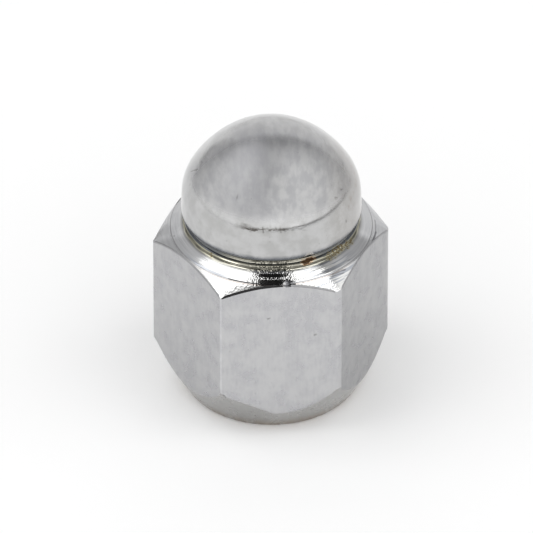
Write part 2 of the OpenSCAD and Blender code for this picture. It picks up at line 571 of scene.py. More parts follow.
def addVector(tree, operation, first, second=None):
    node = tree.nodes.new("ShaderNodeVectorMath")
    node.operation = operation
    feed(tree, node.inputs[0], first)
    if second is not None:
        feed(tree, node.inputs["Scale" if operation == "SCALE" else 1], second)
    return node.outputs["Value" if operation in ("LENGTH", "DISTANCE", "DOT_PRODUCT") else "Vector"]


def along(tree, vector, right, front):   # how far a vector goes in one of the camera's level directions
    return addVector(tree, "DOT_PRODUCT", vector, tuple(facing(right, front, 0)))


noiseMiddle = 0.5                # noise runs from 0 to 1


def addNoise(tree, vector, scale, detail=3.0, roughness=0.55, output="Fac"):
    node = tree.nodes.new("ShaderNodeTexNoise")
    feed(tree, node.inputs["Vector"], vector)
    feed(tree, node.inputs["Scale"], scale)
    feed(tree, node.inputs["Detail"], detail)
    feed(tree, node.inputs["Roughness"], roughness)
    return node.outputs[output]


def addLines(tree, place, scale, detail):        # noise that changes in one direction only
    node = tree.nodes.new("ShaderNodeTexNoise")
    node.noise_dimensions = "1D"
    feed(tree, node.inputs["W"], place)
    feed(tree, node.inputs["Scale"], scale)
    feed(tree, node.inputs["Detail"], detail)
    return node.outputs["Fac"]


def addStretched(tree, place, stretch, settings):        # noise drawn out along an axis
    return addNoise(tree, addVector(tree, "MULTIPLY", place, stretch), *settings)


def addBump(tree, height, distance, normal=None):
    node = tree.nodes.new("ShaderNodeBump")
    feed(tree, node.inputs["Height"], height)
    feed(tree, node.inputs["Distance"], distance)
    if normal is not None:
        feed(tree, node.inputs["Normal"], normal)
    return node.outputs["Normal"]


def separate(tree, vector):
    node = tree.nodes.new("ShaderNodeSeparateXYZ")
    feed(tree, node.inputs[0], vector)
    return node.outputs


def startGroup(name, inputs, outputs):   # inputs are name, kind and value, and outputs are numbers
    group = bpy.data.node_groups.new(name, "ShaderNodeTree")
    for label, kind, value in inputs:
        socket = group.interface.new_socket(name=label, in_out="INPUT", socket_type="NodeSocket" + kind)
        if value is not None:
            socket.default_value = value
    for label in outputs:
        group.interface.new_socket(name=label, in_out="OUTPUT", socket_type="NodeSocketFloat")
    return group, group.nodes.new("NodeGroupInput").outputs, group.nodes.new("NodeGroupOutput").inputs


def useGroup(tree, group, **values):
    node = tree.nodes.new("ShaderNodeGroup")
    node.node_tree = group
    for label, value in values.items():
        feed(tree, node.inputs[label], value)
    return node.outputs


# shared effects; lengths inside the groups are millimetres

effects = {
    "cloudNoise": (4.0, 0.6),    # detail and roughness
    "grainRoughness": 0.7,
    "poreScale": 0.12,           # against the grain's own
    "poreEdge": (0.05, 0.11, 1.0, 0.0),
    "poreChance": (0.72, 0.8),
    "ringNoise": (1.0, 2.0),     # scale and detail
    "ringWander": (0.3, 2.0),
    "ringWanderDepth": 0.15,
    "streakNoise": (1.0, 3.0, 0.6),      # scale, detail and roughness
    "streakStep": 0.8,           # from lane to lane
    "stainNoise": (4.0, 0.65),   # detail and roughness
    "stainRagged": 3.0,
    "stainEdge": (0.6, 1.1, 1.0, 0.0),
    "scoreWander": (1.5, 2.0, 0.5),      # scale, detail and roughness
    "scoreWanderDepth": 0.16,
    "scoreEdge": (0.3, 1.0, 1.0, 0.0),
    "spots": {"Ragged": 0.45, "Fine": 3.0},
}


def makeGrainGroup():            # cloudy plating with fine pores
    group, given, out = startGroup(
        "platingGrain",
        [("Place", "Vector", None), ("CloudSize", "Float", 1.5), ("PoreSize", "Float", 0.12),
         ("Fineness", "Float", 3.0)],
        ["Cloud", "Grain", "Pores"])
    cloudScale = addMath(group, "DIVIDE", 1.0, given["CloudSize"])
    feed(group, out["Cloud"], addNoise(group, given["Place"], cloudScale, *effects["cloudNoise"]))
    grainScale = addMath(group, "DIVIDE", 1.0, given["PoreSize"])
    feed(group, out["Grain"], addNoise(group, given["Place"], grainScale, given["Fineness"],
                                       effects["grainRoughness"]))
    cells = group.nodes.new("ShaderNodeTexVoronoi")
    feed(group, cells.inputs["Vector"], given["Place"])
    feed(group, cells.inputs["Scale"], times(group, grainScale, effects["poreScale"]))
    near = addRange(group, cells.outputs["Distance"], *effects["poreEdge"])
    rare = addRange(group, separate(group, cells.outputs["Color"])[0], *effects["poreChance"])
    feed(group, out["Pores"], times(group, near, rare))
    return group


def makeTurningGroup():          # rings left by the tool round the Z axis
    group, given, out = startGroup(
        "turningMarks",
        [("Place", "Vector", None), ("Pitch", "Float", 0.15), ("Length", "Float", 4.0)],
        ["Rings", "Streaks"])
    radius = addVector(group, "LENGTH", addVector(group, "MULTIPLY", given["Place"], (1.0, 1.0, 0.0)))
    wander = times(group, addNoise(group, given["Place"], *effects["ringWander"]), effects["ringWanderDepth"])
    lane = addMath(group, "DIVIDE", plus(group, radius, wander), given["Pitch"])
    feed(group, out["Rings"], addLines(group, lane, *effects["ringNoise"]))
    run = addVector(group, "SCALE", given["Place"], addMath(group, "DIVIDE", 1.0, given["Length"]))
    shifted = group.nodes.new("ShaderNodeCombineXYZ")
    feed(group, shifted.inputs["Z"], times(group, lane, effects["streakStep"]))
    run = addVector(group, "ADD", run, shifted.outputs[0])
    feed(group, out["Streaks"], addNoise(group, run, *effects["streakNoise"]))
    return group


def makeStainGroup():            # a ragged round patch
    group, given, out = startGroup(
        "stainPatch",
        [("Place", "Vector", None), ("Centre", "Vector", None), ("Radius", "Float", 1.0),
         ("Ragged", "Float", 0.5), ("Fine", "Float", 2.5)],
        ["Patch"])
    away = addVector(group, "DISTANCE", given["Place"], given["Centre"])
    edge = minus(group, addNoise(group, given["Place"], given["Fine"], *effects["stainNoise"]), noiseMiddle)
    reach = plus(group, addMath(group, "DIVIDE", away, given["Radius"]),
                 times(group, edge, times(group, given["Ragged"], effects["stainRagged"])))
    feed(group, out["Patch"], addRange(group, reach, *effects["stainEdge"]))
    return group


def makeScoreGroup():            # a thin mark along a straight line between two points
    group, given, out = startGroup(
        "scoreMark",
        [("Place", "Vector", None), ("Start", "Vector", None), ("End", "Vector", None),
         ("Width", "Float", 0.1)],
        ["Mark"])
    run = addVector(group, "SUBTRACT", given["End"], given["Start"])
    jitter = addNoise(group, given["Place"], *effects["scoreWander"], "Color")
    wander = addVector(group, "SCALE", addVector(group, "SUBTRACT", jitter, (noiseMiddle,) * 3),
                       effects["scoreWanderDepth"])
    off = addVector(group, "ADD", addVector(group, "SUBTRACT", given["Place"], given["Start"]), wander)
    share = addMath(group, "DIVIDE", addVector(group, "DOT_PRODUCT", off, run),
                    addVector(group, "DOT_PRODUCT", run, run))
    share.node.use_clamp = True
    nearest = addVector(group, "SCALE", run, share)
    away = addMath(group, "DIVIDE", addVector(group, "DISTANCE", off, nearest), given["Width"])
    feed(group, out["Mark"], addRange(group, away, *effects["scoreEdge"]))
    return group


grainGroup = makeGrainGroup()
scoreGroup = makeScoreGroup()
turningGroup = makeTurningGroup()
stainGroup = makeStainGroup()
print("shared effects built")


# material helpers

def startMaterial(name, settings):       # an empty metal, its place in millimetres and its plating
    material = bpy.data.materials.new(name)
    material.use_nodes = True
    tree = material.node_tree
    shader = tree.nodes["Principled BSDF"]
    shader.inputs["Metallic"].default_value = 1
    coordinates = tree.nodes.new("ShaderNodeTexCoord")
    place = addVector(tree, "SCALE", coordinates.outputs["Object"], 1 / mm)
    grain = useGroup(tree, grainGroup, Place=place, **settings["grain"])
    return material, tree, place, grain


def finishMaterial(material, colour, roughness, normal):
    tree = material.node_tree
    shader = tree.nodes["Principled BSDF"]
    feed(tree, shader.inputs["Base Color"], colour)
    feed(tree, shader.inputs["Roughness"], roughness)
    feed(tree, shader.inputs["Normal"], normal)
    return material


def readAttribute(tree, name):
    node = tree.nodes.new("ShaderNodeAttribute")
    node.attribute_name = name
    return node.outputs["Fac"]


def placeAt(turn, radius, height):       # a place in mm from its turn from the front, radius and height
    side = facing(sin(radians(turn)), cos(radians(turn)), 0) * radius
    return side.x, side.y, height


def addStain(tree, place, centre, size, edge):
    return useGroup(tree, stainGroup, Place=place, Centre=centre, Radius=size, **edge)["Patch"]


def addSpots(tree, place, spots):        # the joined mask of a list of round stains
    total = None
    for turn, radius, height, size in spots:
        patch = addStain(tree, place, placeAt(turn, radius, height), size, effects["spots"])
        total = patch if total is None else addMath(tree, "MAXIMUM", total, patch)
    return total


def addMarks(tree, place, colour, marks, shade):         # thin strokes of one shade
    for start, end, width, strength in marks:
        mark = useGroup(tree, scoreGroup, Place=place, Start=placeAt(*start), End=placeAt(*end), Width=width)
        colour = addMix(tree, times(tree, mark["Mark"], strength), colour, shade)
    return colour


def namedRanges(tree, settings):         # gives a function that puts a value through a range of this finish
    return lambda value, name: addRange(tree, value, *settings[name])


def tint(tree, colour, shade, *masks):   # lays a shade on a colour, by the masks multiplied together
    return addMix(tree, times(tree, *masks), colour, shade)


# flats of the hexagon
# in these finishes a range is where a change starts and ends, and its two levels where they aren't 0 and 1

satin = {
    "grain": {"CloudSize": 1.6, "PoreSize": 0.1},
    "colour": (0.557, 0.557, 0.562),
    "dark": (0.485, 0.485, 0.50),
    "cloudRange": (0.55, 0.95),
    "brushStretch": (3.0, 3.0, 0.5),     # drawing marks that run up the flats
    "brushNoise": (1.4, 3.0, 0.6),
    "brushShare": 0.5,
    # the painted highlight on the sharp long edges is broken by noise, brighter in some places and less in
    # others
    "edgeStretch": (0.6, 0.6, 1.1),
    "edgeNoise": (1.2, 4.0, 0.7),
    "edgeRange": (0.45, 0.58),
    "edgeTones": (1.04, 1.1, 0.0, 0.3),
    "poreShade": (0.25, 0.25, 0.25),
    "poreShare": 0.35,
    "pits": (((-1.23, -10.5, 14.74), 0.13), ((-1.05, -10.5, 14.8), 0.1),
             ((3.53, -10.5, 12.43), 0.13), ((3.7, -10.5, 12.5), 0.09)),      # place and size in mm
    "pitEdge": {"Ragged": 0.4, "Fine": 5.0},
    "pitShade": (0.16, 0.16, 0.15),
    "pitShare": 0.6,
    "roughness": (0.3, 0.7, 0.29, 0.20),
    "grainShare": 0.35,
    "grainDepth": 0.004 * mm,
    "brushDepth": 0.006 * mm,
}


def makeFlatChrome():
    material, tree, place, grain = startMaterial("satinChrome", satin)
    span = namedRanges(tree, satin)
    brushed = addStretched(tree, place, satin["brushStretch"], satin["brushNoise"])
    cloud = plus(tree, grain["Cloud"], times(tree, brushed, satin["brushShare"]))
    colour = addMix(tree, span(cloud, "cloudRange"), satin["dark"], satin["colour"])
    paintedTone = readAttribute(tree, "paintedTone")
    # each face made lighter or darker by its painted highlight or shade
    colour = addMix(tree, 1.0, colour, paintedTone, "MULTIPLY")
    # the painted highlight on the sharp long edges, broken by noise
    highlightBreaks = span(addStretched(tree, place, satin["edgeStretch"], satin["edgeNoise"]), "edgeRange")
    colour = tint(tree, colour, satin["dark"], highlightBreaks, span(paintedTone, "edgeTones"))
    colour = tint(tree, colour, satin["poreShade"], grain["Pores"], satin["poreShare"])
    for centre, size in satin["pits"]:
        pit = addStain(tree, place, centre, size, satin["pitEdge"])
        colour = tint(tree, colour, satin["pitShade"], pit, satin["pitShare"])
    roughness = span(grain["Cloud"], "roughness")
    height = minus(tree, times(tree, grain["Grain"], satin["grainShare"]), grain["Pores"])
    normal = addBump(tree, height, satin["grainDepth"])
    normal = addBump(tree, brushed, satin["brushDepth"], normal)
    return finishMaterial(material, colour, roughness, normal)


# chamfer and neck

turned = {                       # right, front and radius are millimetres, as the camera sees them
    "grain": {"CloudSize": 1.2, "PoreSize": 0.15, "Fineness": 0.5},
    "turning": {"Pitch": 0.12, "Length": 5.0},
    "colour": (0.54, 0.542, 0.55),
    "dark": (0.49, 0.494, 0.505),
    "streakRange": (0.35, 0.68),
    # a painted highlight over the front of the chamfer, its edge broken by the streaks
    "highlight": (0.74, 0.74, 0.73),
    "highlightUneven": 1.2,
    "highlightFront": (6.4, 8.6),
    # painted shade in rings beside the painted highlight, one broad on the left and several broken ones on
    # the right
    "shadeRing": (0.33, 0.35, 0.39),
    "shadeRingShare": 0.8,
    "shadeRingFront": (4.5, 7.0),
    "broadRadius": 10.22,
    "broadEdge": (0.2, 0.08),
    "broadRight": (-3.2, -5.6),
    "brokenStreaks": (0.50, 0.58),
    "brokenRight": (1.8, 3.8),
    # a brown line on the step between the two slopes
    "stepStain": (0.40, 0.31, 0.26),
    "stepRadius": 10.43,
    "stepEdge": (0.07, 0.03),
    "stepFront": (6.0, 8.5, 0.0, 0.7),
    # fine lines of painted highlight and shade round the neck's ridges, with olive stain in the grooves, all
    # dark at the front centre
    "neckFrom": (19.35, 19.65),
    "neckShare": 0.92,
    "neckHighlight": (0.74, 0.71, 0.60),
    "neckShadedRidge": (0.34, 0.325, 0.24),
    "neckFront": (6.8, 8.6),
    "oliveStainAndShade": (0.07, 0.066, 0.045),
    "lineNoise": (5.6, 1.0),
    "lineWander": (0.5, 2.0),
    "lineWanderDepth": 0.25,
    "lineRange": (0.41, 0.53),
    "middleSide": (2.2, 1.3),
    "middleFront": (6.0, 8.0),
    "glitter": (0.46, 0.58),
    "glitterShade": 0.24,
    # painted shade high in the seam under the cap's rim, away from the front
    "seamShade": (0.11, 0.12, 0.14),
    "seamShadeShare": 0.8,
    "seamShadeFrom": (19.95, 20.25),
    "seamShadeFront": (8.3, 6.6),
    "poreShade": (0.1, 0.1, 0.1),
    "poreShare": 0.5,
    # turn from the front, radius and height of both ends, width, strength
    "scores": (((96.0, 10.62, 18.7), (85.0, 10.7, 18.66), 0.09, 0.6),
               ((85.0, 10.7, 18.66), (74.0, 10.64, 18.69), 0.15, 0.8),
               ((-98.0, 9.9, 19.1), (-86.0, 9.7, 19.2), 0.7, 0.12),
               ((-88.0, 10.3, 18.9), (-74.0, 10.1, 19.0), 0.35, 0.10),
               ((45.0, 10.6, 18.72), (36.0, 10.5, 18.78), 0.12, 0.7),
               ((43.0, 10.8, 18.6), (34.0, 10.65, 18.7), 0.08, 0.6),
               ((52.0, 10.1, 19.0), (33.0, 9.9, 19.1), 0.07, 0.5)),
    "scoreShade": (0.10, 0.10, 0.11),
    # turn from the front, radius, height and size; shade at the core and at the edge
    "rustSpots": ((20.6, 8.97, 20.22, 0.28), (22.6, 8.96, 20.12, 0.42), (24.9, 8.96, 20.18, 0.46),
                  (27.4, 8.96, 20.3, 0.36), (29.8, 8.97, 20.38, 0.24)),
    "rust": ((0.07, 0.036, 0.016), (0.50, 0.27, 0.11)),
    "bloomSpots": ((41.0, 9.0, 19.8, 0.55), (45.5, 9.0, 19.9, 0.62), (49.5, 8.98, 20.0, 0.55),
                   (53.5, 8.98, 19.9, 0.5), (58.0, 9.0, 19.8, 0.5), (64.0, 9.0, 19.7, 0.45),
                   (-43.0, 9.0, 19.8, 0.35)),
    "bloom": ((0.14, 0.105, 0.05), (0.42, 0.37, 0.22)),
    "bloomGrain": (0.42, 0.56),
    "rustCore": (0.45, 0.95),
    "rustShare": 0.95,
    "rustRoughness": 0.3,
    # size in mm, shade, turn from the nick, what it adds to the roughness; the first is a painted shade on
    # the nick's right edge, the second the nick's dull grey metal
    "nickPatches": ((0.62, (0.03, 0.03, 0.035), 1.8, 0.0), (0.40, (0.40, 0.40, 0.42), -0.2, 0.45)),
    "nickEdge": {"Ragged": 0.3, "Fine": 2.2},
    "nickShare": 0.95,
    "roughness": (0.3, 0.7, 0.04, 0.11),
    # the front centre is pitted in two bands, and smooth between them
    "innerBand": (9.32, 9.22),
    "outerBand": 9.76,
    "outerBandEdge": (0.17, 0.09),
    "bandSide": (2.6, 1.8),
    "bandFront": (7.8, 8.6, 0.0, 0.03 * mm),
    "pittedSide": (0.9, 1.5),
    "pittedFront": (8.9, 9.6, 0.0, 0.014 * mm),
    "grainDepth": 0.0015 * mm,
    "ringDepth": 0.003 * mm,
    "streakRight": (-4.0, -6.0, 0.004 * mm, 0.011 * mm),
}


def addNeckLines(tree, place, grain, front, side, height):
    span = namedRanges(tree, turned)
    wander = times(tree, addNoise(tree, place, *turned["lineWander"]), turned["lineWanderDepth"])
    lines = addLines(tree, plus(tree, height, wander), *turned["lineNoise"])
    middle = times(tree, span(side, "middleSide"), span(front, "middleFront"))
    glitter = times(tree, span(grain, "glitter"), turned["glitterShade"])
    shade = times(tree, middle, minus(tree, turned["glitterShade"], glitter))
    grooves = span(plus(tree, lines, shade), "lineRange")
    # the ridges carry a painted highlight at the front and painted shade at the sides; the grooves olive
    # stain and painted shade
    ridge = addMix(tree, span(front, "neckFront"), turned["neckShadedRidge"], turned["neckHighlight"])
    return addMix(tree, grooves, ridge, turned["oliveStainAndShade"])


def addRust(tree, place, grain, colour, roughness):      # brown rust and olive bloom round the neck
    span = namedRanges(tree, turned)
    rust = addSpots(tree, place, turned["rustSpots"])
    bloom = times(tree, addSpots(tree, place, turned["bloomSpots"]), span(grain, "bloomGrain"))
    for total, (core, edge) in ((rust, turned["rust"]), (bloom, turned["bloom"])):
        shade = addMix(tree, span(total, "rustCore"), edge, core)
        colour = tint(tree, colour, shade, total, turned["rustShare"])
        roughness = plus(tree, roughness, times(tree, total, turned["rustRoughness"]))
    return colour, roughness


def makeTurnedChrome():
    material, tree, place, grain = startMaterial("turnedChrome", turned)
    span = namedRanges(tree, turned)
    marks = useGroup(tree, turningGroup, Place=place, **turned["turning"])
    height = separate(tree, place)[2]
    radius = addVector(tree, "LENGTH", addVector(tree, "MULTIPLY", place, (1.0, 1.0, 0.0)))
    right, front = along(tree, place, 1, 0), along(tree, place, 0, 1)
    side = addMath(tree, "ABSOLUTE", right)
    colour = addMix(tree, span(marks["Streaks"], "streakRange"), turned["colour"], turned["dark"])
    # the painted highlight over the front of the chamfer
    nearFront = plus(tree, front, times(tree, marks["Streaks"], turned["highlightUneven"]))
    colour = tint(tree, colour, turned["highlight"], span(nearFront, "highlightFront"))
    broad = times(tree, span(awayFrom(tree, radius, turned["broadRadius"]), "broadEdge"),
                  span(right, "broadRight"))
    broken = times(tree, span(marks["Streaks"], "brokenStreaks"), span(right, "brokenRight"))
    # painted shade in the rings beside the highlight
    colour = tint(tree, colour, turned["shadeRing"], addMath(tree, "MAXIMUM", broad, broken),
                  span(front, "shadeRingFront"), turned["shadeRingShare"])
    stepLine = span(awayFrom(tree, radius, turned["stepRadius"]), "stepEdge")
    colour = tint(tree, colour, turned["stepStain"], stepLine, span(front, "stepFront"))
    # the neck's lines of painted highlight, shade and olive stain
    colour = tint(tree, colour, addNeckLines(tree, place, grain["Grain"], front, side, height),
                  span(height, "neckFrom"), turned["neckShare"])
    # painted shade high in the seam under the cap's rim
    colour = tint(tree, colour, turned["seamShade"], span(height, "seamShadeFrom"),
                  span(front, "seamShadeFront"), turned["seamShadeShare"])
    colour = tint(tree, colour, turned["poreShade"], grain["Pores"], turned["poreShare"])
    colour = addMarks(tree, place, colour, turned["scores"], turned["scoreShade"])
    # each face made lighter or darker by its painted highlight or shade
    colour = addMix(tree, 1.0, colour, readAttribute(tree, "paintedTone"), "MULTIPLY")
    roughness = span(grain["Cloud"], "roughness")
    colour, roughness = addRust(tree, place, grain["Grain"], colour, roughness)
    turn, nickRadius, nickHeight = nut["nick"][:3]
    # a painted shade on the nick's right edge, and the nick's dull grey metal
    for size, shade, shift, dulling in turned["nickPatches"]:
        patch = addStain(tree, place, placeAt(turn + shift, nickRadius, nickHeight), size, turned["nickEdge"])
        colour = tint(tree, colour, shade, patch, turned["nickShare"])
        roughness = plus(tree, roughness, times(tree, patch, dulling))
    bands = addMath(tree, "MAXIMUM", span(radius, "innerBand"),
                    span(awayFrom(tree, radius, turned["outerBand"]), "outerBandEdge"))
    banded = times(tree, bands, span(side, "bandSide"), span(front, "bandFront"))
    pitted = times(tree, span(side, "pittedSide"), span(front, "pittedFront"))
    relief = plus(tree, addMath(tree, "MAXIMUM", banded, pitted), turned["grainDepth"])
    normal = addBump(tree, grain["Grain"], relief)
    normal = addBump(tree, marks["Rings"], turned["ringDepth"], normal)
    normal = addBump(tree, marks["Streaks"], span(right, "streakRight"), normal)
    return finishMaterial(material, colour, roughness, normal)


# seat

seatFinish = {
    "grain": {"CloudSize": 1.6, "PoreSize": 0.12},
    "turning": {"Pitch": 0.2, "Length": 3.0},
    "colour": (0.46, 0.457, 0.45),
    # darker and browner towards the bottom of the seat, in clouds
    "bottomColour": (0.37, 0.325, 0.28),
    "bottomFrom": (1.5, 0.0),
    "bottomClouds": (0.25, 0.55),
    "roughness": (0.3, 0.7, 0.24, 0.34),
    "grainDepth": 0.003 * mm,
    "streakDepth": 0.006 * mm,
}


def makeSeatChrome():
    material, tree, place, grain = startMaterial("seatChrome", seatFinish)
    span = namedRanges(tree, seatFinish)
    marks = useGroup(tree, turningGroup, Place=place, **seatFinish["turning"])
    colour = tint(tree, seatFinish["colour"], seatFinish["bottomColour"],
                  span(separate(tree, place)[2], "bottomFrom"),
                  span(grain["Cloud"], "bottomClouds"))
    # each face made lighter or darker by its painted shade
    colour = addMix(tree, 1.0, colour, readAttribute(tree, "paintedTone"), "MULTIPLY")
    normal = addBump(tree, grain["Grain"], seatFinish["grainDepth"])
    normal = addBump(tree, marks["Streaks"], seatFinish["streakDepth"], normal)
    return finishMaterial(material, colour, span(grain["Cloud"], "roughness"), normal)


# bore and thread

boreFinish = {
    "grain": {"CloudSize": 1.8, "PoreSize": 0.1},
    "colour": (0.30, 0.30, 0.29),
    "dark": (0.17, 0.16, 0.15),
    "cloudRange": (0.3, 0.65),
    "roughness": (0.2, 0.8, 0.32, 0.5),
    "grainDepth": 0.006 * mm,
}


def makeBoreMetal():
    material, tree, place, grain = startMaterial("threadMetal", boreFinish)
    span = namedRanges(tree, boreFinish)
    colour = addMix(tree, span(grain["Cloud"], "cloudRange"), boreFinish["dark"], boreFinish["colour"])
    normal = addBump(tree, grain["Grain"], boreFinish["grainDepth"])
    return finishMaterial(material, colour, span(grain["Grain"], "roughness"), normal)


# cap's plating

plated = {                       # right, front and height are millimetres, as the camera sees them
    "grain": {"CloudSize": 1.5, "PoreSize": 0.1},
    "colour": (0.55, 0.55, 0.55),
    "dark": (0.465, 0.465, 0.46),
    "wallClouds": (0.35, 0.65),
    "streakStretch": (1.3, 0.4, 1.0),
    "streakNoise": (0.9, 4.0, 0.6),
    "crownFrom": (24.9, 26.2),
    "crownColour": (0.50, 0.50, 0.50),
    "crownDark": (0.40, 0.40, 0.41),
    "crownStreaks": (0.35, 0.65),
    "crownFront": (-2.0, 1.5, 0.35, 1.0),
    # painted shade on the top and the left of the crown
    "crownShade": (0.29, 0.29, 0.305),
    "topFrom": (28.7, 30.0),
    "topFront": (0.2, 1.4),
    "topShare": 0.3,
    "leftFrom": (0.6, -0.8),
    "leftTo": (-6.0, -3.2, 0.35, 1.0),
    "leftFront": (-2.0, 0.5, 0.0, 0.45),
    # painted shade on both sides of the cap, as the camera sees them
    "sideShade": (0.36, 0.36, 0.37),
    "sideRight": (6.6, 8.8, 0.0, 0.3),
    # painted shade along the foot of the rolled rim, its edge ragged
    "rimShade": (0.11, 0.12, 0.14),
    "rimRagged": 0.5,
    "rimBelow": (21.65, 21.1, 0.0, 0.88),
    # a painted highlight where the rolled edge is lifted
    "rimHighlight": (0.66, 0.64, 0.61),
    "liftedPlace": (24.8, 9.1, 20.98),
    "liftedSize": 0.6,
    "liftedEdge": {"Ragged": 0.1, "Fine": 2.0},
    "liftedShare": 0.8,
    "liftedRoughness": 0.5,
    "dentShade": (0.12, 0.12, 0.11),
    "dentShare": 0.6,
    "poreShade": (0.2, 0.2, 0.2),
    "poreShare": 0.4,
    "warmShade": (0.34, 0.31, 0.28),
    "warmRight": (4.5, 8.0),
    "warmGrain": (0.35, 0.65),
    "warmShare": 0.55,
    # turn from the front, radius, height and size
    "freckles": ((92, 8.2, 25.95, 0.3), (88, 8.4, 25.6, 0.22), (80, 8.74, 24.96, 0.3), (84, 8.7, 25.1, 0.22),
                 (72, 8.8, 24.8, 0.22), (66, 8.82, 24.76, 0.28), (61, 8.95, 24.3, 0.2)),
    "freckleShade": (0.26, 0.19, 0.15),
    "freckleGrain": (0.4, 0.6),
    "freckleShare": 0.5,
    # turn from the front, radius and height of both ends, width, strength
    "creases": (((-19.5, 8.8, 24.85), (-14.5, 8.86, 24.75), 0.36, 0.25),
                ((-5.8, 8.84, 24.82), (-5.2, 8.96, 24.35), 0.13, 0.5),
                ((6.0, 8.84, 24.75), (6.3, 8.97, 24.3), 0.11, 0.4),
                ((14.5, 8.86, 24.75), (24.0, 8.88, 24.7), 0.12, 0.3),
                ((24.0, 8.88, 24.7), (33.0, 8.8, 24.9), 0.12, 0.25),
                ((-80.0, 7.6, 26.75), (-86.0, 8.2, 25.95), 0.10, 0.6),
                ((55.7, 9.14, 23.15), (56.0, 9.15, 22.9), 0.10, 0.6),
                ((52.0, 8.2, 25.95), (54.0, 8.3, 25.8), 0.10, 0.4),
                ((60.0, 8.1, 26.1), (63.0, 8.15, 26.0), 0.07, 0.4),
                ((-139, 4.2, 29.9), (-142, 4.5, 29.75), 0.2, 0.7)),
    # painted shade in creases of the sheet
    "creaseShade": (0.10, 0.09, 0.08),
    # a ragged line of painted shade in the knocks low on the front of the shoulder
    "knockStretch": (1.0, 1.0, 2.4),
    "knockNoise": (1.3, 5.0, 0.75),
    "knockHeight": 24.62,
    "knockRagged": 1.2,
    "knockEdge": (0.2, 0.04),
    "knockMiddle": -0.6,
    "knockReach": (3.1, 1.9),
    "knockShares": (0.42, 0.56, 0.35, 0.95),
    "knockFront": (6.0, 8.0),
    "roughness": (25.2, 28.4, 0.09, 0.17),       # at two heights
    "rubbedFront": (0.2, 3.5),           # hands have rubbed this side of the crown dull
    "rubbedRoughness": 0.33,
    "streakRoughness": 0.12,
    "grainDepth": 0.003 * mm,
    "streakDepth": 0.035 * mm,
}


def addKnockShade(tree, place, right, front, height):
    span = namedRanges(tree, plated)
    ragged = addStretched(tree, place, plated["knockStretch"], plated["knockNoise"])
    line = plus(tree, height, times(tree, minus(tree, ragged, noiseMiddle), plated["knockRagged"]))
    return times(tree, span(awayFrom(tree, line, plated["knockHeight"]), "knockEdge"),
                 span(awayFrom(tree, right, plated["knockMiddle"]), "knockReach"),
                 span(ragged, "knockShares"), span(front, "knockFront"))


def makeCapChrome():
    material, tree, place, grain = startMaterial("capChrome", plated)
    span = namedRanges(tree, plated)
    height = separate(tree, place)[2]
    right, front = along(tree, place, 1, 0), along(tree, place, 0, 1)
    crown = span(height, "crownFrom")
    streaks = addStretched(tree, place, plated["streakStretch"], plated["streakNoise"])
    wall = addMix(tree, span(grain["Cloud"], "wallClouds"), plated["dark"], plated["colour"])
    top = addMix(tree, span(streaks, "crownStreaks"), plated["crownDark"], plated["crownColour"])
    # painted shade on the top and the left of the crown
    top = tint(tree, top, plated["crownShade"], span(height, "topFrom"),
               span(front, "topFront"), plated["topShare"])
    top = tint(tree, top, plated["crownShade"], span(right, "leftFrom"),
               span(right, "leftTo"), span(front, "leftFront"))
    colour = tint(tree, wall, top, crown, span(front, "crownFront"))
    side = addMath(tree, "ABSOLUTE", right)
    # painted shade on both sides of the cap
    colour = tint(tree, colour, plated["sideShade"], span(side, "sideRight"))
    # painted shade along the foot of the rolled rim
    rim = plus(tree, height, times(tree, minus(tree, grain["Cloud"], noiseMiddle), plated["rimRagged"]))
    colour = tint(tree, colour, plated["rimShade"], span(rim, "rimBelow"))
    # a painted highlight where the rolled edge is lifted
    lifted = addStain(tree, place, placeAt(*plated["liftedPlace"]), plated["liftedSize"],
                      plated["liftedEdge"])
    colour = tint(tree, colour, plated["rimHighlight"], lifted, plated["liftedShare"])
    # painted shade in the dents
    colour = tint(tree, colour, plated["dentShade"], readAttribute(tree, "dentShadeMask"), plated["dentShare"])
    colour = tint(tree, colour, plated["poreShade"], grain["Pores"], plated["poreShare"])
    colour = tint(tree, colour, plated["warmShade"], span(right, "warmRight"),
                  span(grain["Grain"], "warmGrain"), plated["warmShare"])
    colour = tint(tree, colour, plated["freckleShade"], addSpots(tree, place, plated["freckles"]),
                  span(grain["Grain"], "freckleGrain"), plated["freckleShare"])
    # painted shade in the creases and along the line of knocks
    colour = addMarks(tree, place, colour, plated["creases"], plated["creaseShade"])
    colour = tint(tree, colour, plated["creaseShade"], addKnockShade(tree, place, right, front, height))
    rubbed = times(tree, crown, span(front, "rubbedFront"))
    roughness = span(height, "roughness")
    for mask, amount in ((rubbed, "rubbedRoughness"), (minus(tree, streaks, noiseMiddle), "streakRoughness"),
                         (lifted, "liftedRoughness")):
        roughness = plus(tree, roughness, times(tree, mask, plated[amount]))
    normal = addBump(tree, grain["Grain"], plated["grainDepth"])
    normal = addBump(tree, times(tree, streaks, crown), plated["streakDepth"], normal)
    return finishMaterial(material, colour, roughness, normal)


# finishes laid on the nut

